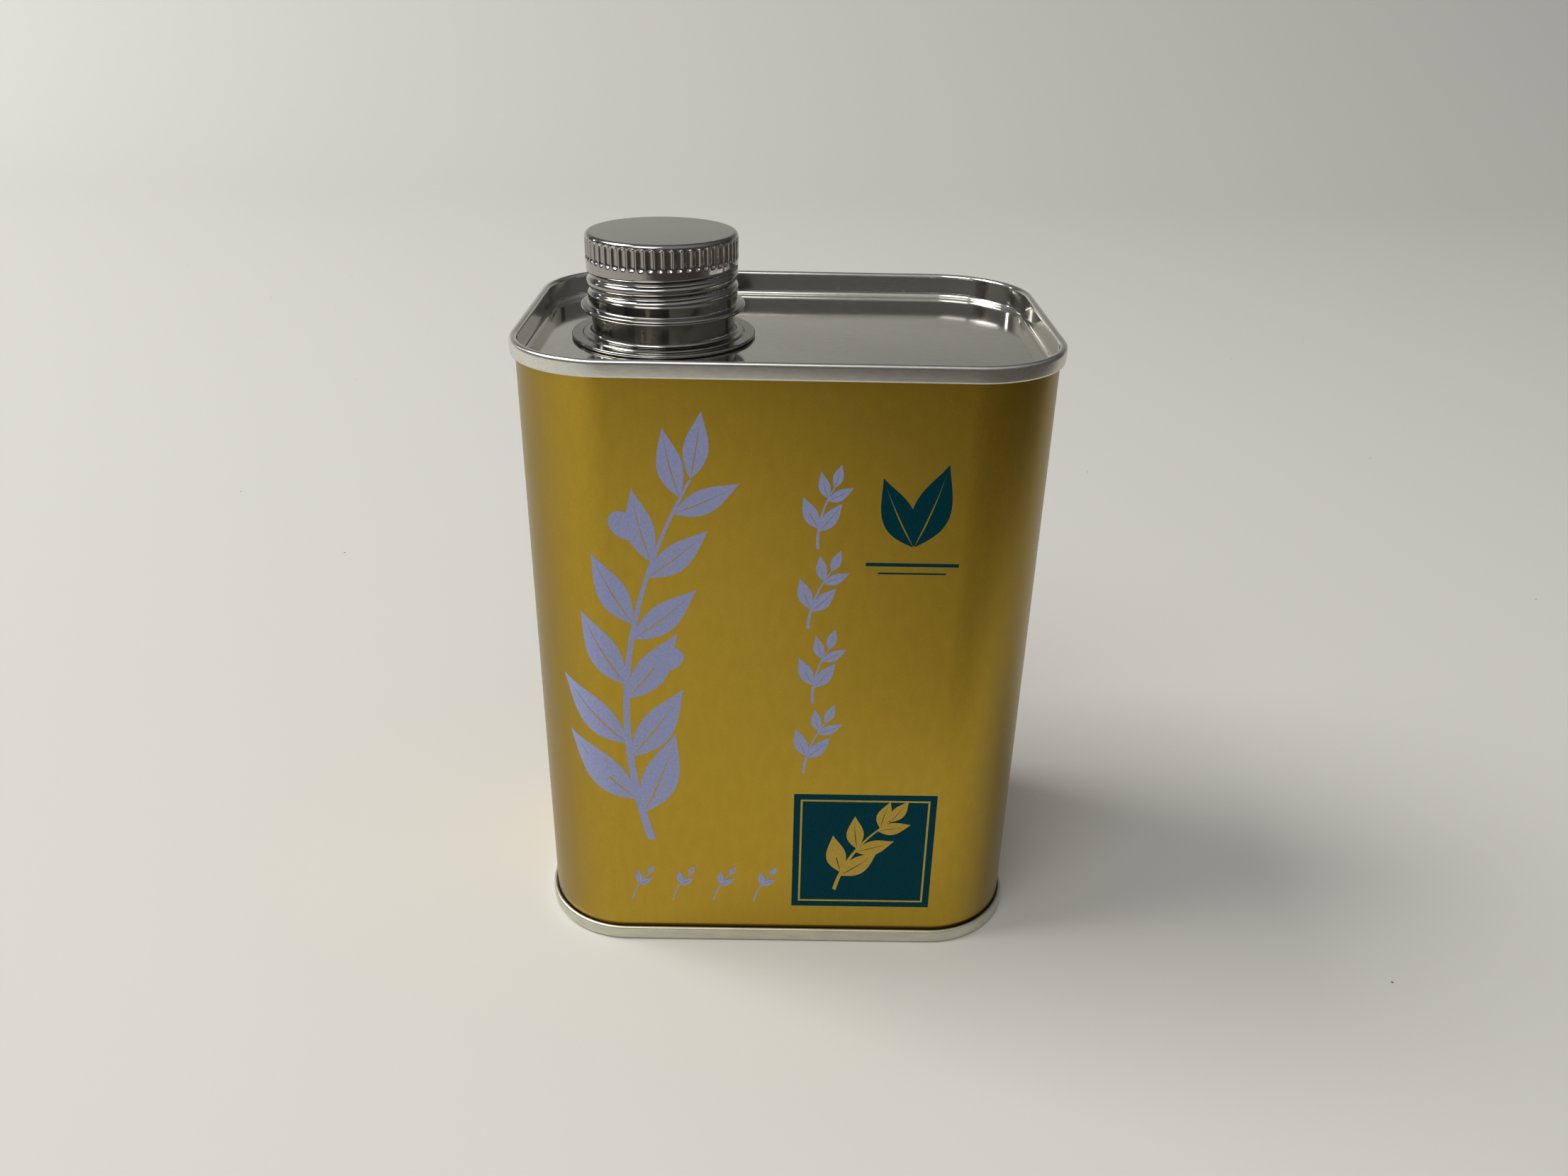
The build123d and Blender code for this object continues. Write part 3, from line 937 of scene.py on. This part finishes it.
def printed(name, patches, lift, sizes):
    """Lays patches of (across, up) points on the front wall as thin closed slabs of ink.

    Across is the way along the wall from the middle of the front: on the flat it is x, and past the flat's
    end the rest of it, over the corner's radius, is the angle round the corner.
    """
    radius = sizes.corner_radius
    half_width, half_depth = half_plan(sizes)
    flat = half_width - radius
    points, quads, offset = [], [], 0
    for number, patch in enumerate(patches):
        across, up = patch[..., 0].ravel(), patch[..., 1].ravel()
        past = np.maximum(abs(across) - flat, 0) / radius
        layers = []
        for reach in (radius + lift + 0.0004 * number, radius):
            x = np.sign(across) * (np.minimum(abs(across), flat) + reach * np.sin(past))
            y = radius - half_depth - reach * np.cos(past)
            layers.append(np.stack([x, y, up], axis=1))
        rows, columns = patch.shape[:2]
        index = np.arange(rows * columns).reshape(rows, columns)
        front = grid_faces(index)
        loop = np.concatenate([index[0, :-1], index[:-1, -1], index[-1, :0:-1], index[:0:-1, 0]])
        ahead = np.roll(loop, -1)
        count = rows * columns
        sides = np.stack([ahead, loop, loop + count, ahead + count], 1)
        slab = np.vstack([front, front[:, ::-1] + count, sides])
        where = np.vstack(layers)
        slab, _ = facing_out(where - where.mean(0), slab, NO_TRIANGLES)
        points.append(where)
        quads.append(slab + offset)
        offset += len(where)
    piece = fill_mesh(name, np.vstack(points), np.vstack(quads))
    piece.data.shade_flat()
    return piece


class OILTIN_OT_stage(bpy.types.Operator):
    """Set up floor, backdrop, lamps and camera"""
    bl_idname = "oiltin.stage"
    bl_label = "Stage, lamps and camera"

    def execute(self, context):
        self.backdrop(context.scene.tin_colours)
        self.lamps(context.scene)
        self.camera(context.scene)
        return {"FINISHED"}

    def backdrop(self, colours):
        """A floor that rises at the back in a wide bend, as one sheet.

        It is painted darker up the bend, and far in front and on the right: painted shade, dark
        surroundings for the metal to reflect.
        """
        section = along(rounded_path([(-2500, 0), (1500, 0), (1500, 900)], [700], steps=24), 250)
        across = np.linspace(-2500, 2500, 21)
        points = np.stack(np.broadcast_arrays(across, section[:, :1], section[:, 1:]), axis=2)
        index = np.arange(len(section) * len(across)).reshape(len(section), -1)
        floor = fill_mesh("floor", points.reshape(-1, 3), grid_faces(index))
        material, nodes, shader, place = new_material("pale_floor", colours.floor, 0.0, 0.75)
        specks = speck_mask(nodes, place, 80.0, 0.25, 0.024)
        base = nodes.mix(nodes.times(specks, 0.85), colours.floor, (0.05, 0.045, 0.04))
        x, y, z = nodes.add("ShaderNodeSeparateXYZ", in_0=place).outputs
        # Painted shade: the backdrop is painted darker up its bend.
        base = nodes.mix(nodes.ramp(z, 150.0 * MM, 800.0 * MM), base, (0.30, 0.30, 0.28))
        # Painted shade: the floor is painted dark far in front and on the right, and in a patch in front
        # and right of the can, for the metal to reflect.
        near = nodes.ramp(y, -84.0 * MM, -115.0 * MM, 0.0, 0.7)
        near = nodes.times(near, nodes.ramp(x, -30.0 * MM, 80.0 * MM))
        beyond = nodes.math("SUBTRACT", x, nodes.times(y, 0.9))
        fade = nodes.math("MAXIMUM", near, nodes.ramp(beyond, 178.0 * MM, 390.0 * MM))
        nodes.feed(shader.inputs["Base Color"], nodes.mix(fade, base, (0.085, 0.07, 0.06)))
        floor.data.materials.append(material)

    def lamps(self, scene):
        """A window up on the left, a softer light up in front, a wash on the backdrop, and a dim room."""
        for name, place, aim, size, power, colour in (
                ("window", (-1.1, 0.08, 1.43), (0.5, -0.1, 0), 0.9, 24.5, (1.0, 0.995, 0.98)),
                ("front", (-0.42, -0.8, 1.3), (0, 0, 0.06), 0.8, 6.6, (1.0, 1.0, 1.0)),
                ("wash", (-1.3, 0.7, 0.6), (-0.9, 1.4, 0.1), 0.4, 3.2, (0.97, 0.985, 1.0))):
            lamp = bpy.data.lights.new(name, "AREA")
            lamp.size = size
            lamp.energy = power
            lamp.color = colour
            holder = bpy.data.objects.new(name, lamp)
            holder.location = place
            ray = Vector(aim) - Vector(place)
            holder.rotation_euler = ray.to_track_quat("-Z", "Y").to_euler()
            scene.collection.objects.link(holder)
        world = bpy.data.worlds.new("room")
        world.use_nodes = True
        nodes = Nodes(world.node_tree)
        around = nodes.add("ShaderNodeTexCoord").outputs["Generated"]
        x, y, z = nodes.add("ShaderNodeSeparateXYZ", in_0=around).outputs
        front = nodes.math("SUBTRACT", nodes.times(x, -0.35), y)
        light = nodes.times(nodes.ramp(front, -1.0, 0.5), nodes.ramp(z, 0.15, 0.75))
        back = world.node_tree.nodes["Background"]
        nodes.feed(back.inputs["Color"], nodes.mix(light, (0.19, 0.19, 0.19), (1.0, 1.0, 0.98)))
        back.inputs["Strength"].default_value = 0.5
        scene.world = world

    def camera(self, scene):
        """The photograph's camera: its place and its turns in degrees, from a fit to the can's edges."""
        turn = Matrix()
        for axis, angle in (("Z", -0.509), ("X", 90.0 - 26.952), ("Z", 1.161)):
            turn = turn @ Matrix.Rotation(np.radians(angle), 4, axis)
        data = bpy.data.cameras.new("camera")
        data.sensor_fit = "HORIZONTAL"
        data.sensor_width = 36.0
        data.lens = data.sensor_width * PHOTO_FOCAL / PHOTO_WIDTH
        data.clip_start = 0.01
        data.clip_end = 50.0
        holder = bpy.data.objects.new("camera", data)
        place = Vector((-1.627, -207.68, 164.769)) * MM
        holder.matrix_world = Matrix.Translation(place) @ turn
        scene.collection.objects.link(holder)
        scene.camera = holder


class OILTIN_PT_panel(bpy.types.Panel):
    """Lists the tin's operators and settings"""
    bl_label = "Oil tin"
    bl_idname = "OILTIN_PT_panel"
    bl_space_type = "VIEW_3D"
    bl_region_type = "UI"
    bl_category = "Oil Tin"

    def draw(self, context):
        for operator in OPERATORS:
            self.layout.operator(operator.bl_idname)
        for group in (context.scene.tin_sizes, context.scene.tin_colours):
            box = self.layout.box()
            for name in type(group).__annotations__:
                box.prop(group, name)


OPERATORS = (OILTIN_OT_stage, OILTIN_OT_body, OILTIN_OT_ends, OILTIN_OT_neck, OILTIN_OT_cap,
             OILTIN_OT_print)
CLASSES = (TinSizes, TinColours) + OPERATORS + (OILTIN_PT_panel,)


def register():
    for cls in CLASSES:
        bpy.utils.register_class(cls)
    bpy.types.Scene.tin_sizes = PointerProperty(type=TinSizes)
    bpy.types.Scene.tin_colours = PointerProperty(type=TinColours)


def unregister():
    del bpy.types.Scene.tin_colours
    del bpy.types.Scene.tin_sizes
    for cls in reversed(CLASSES):
        bpy.utils.unregister_class(cls)


def main():
    register()
    bpy.context.scene.view_settings.view_transform = "Standard"
    bpy.ops.oiltin.stage()
    bpy.ops.oiltin.body()
    bpy.ops.oiltin.ends()
    bpy.ops.oiltin.neck()
    bpy.ops.oiltin.cap()
    bpy.ops.oiltin.print()


if __name__ == "__main__":
    main()
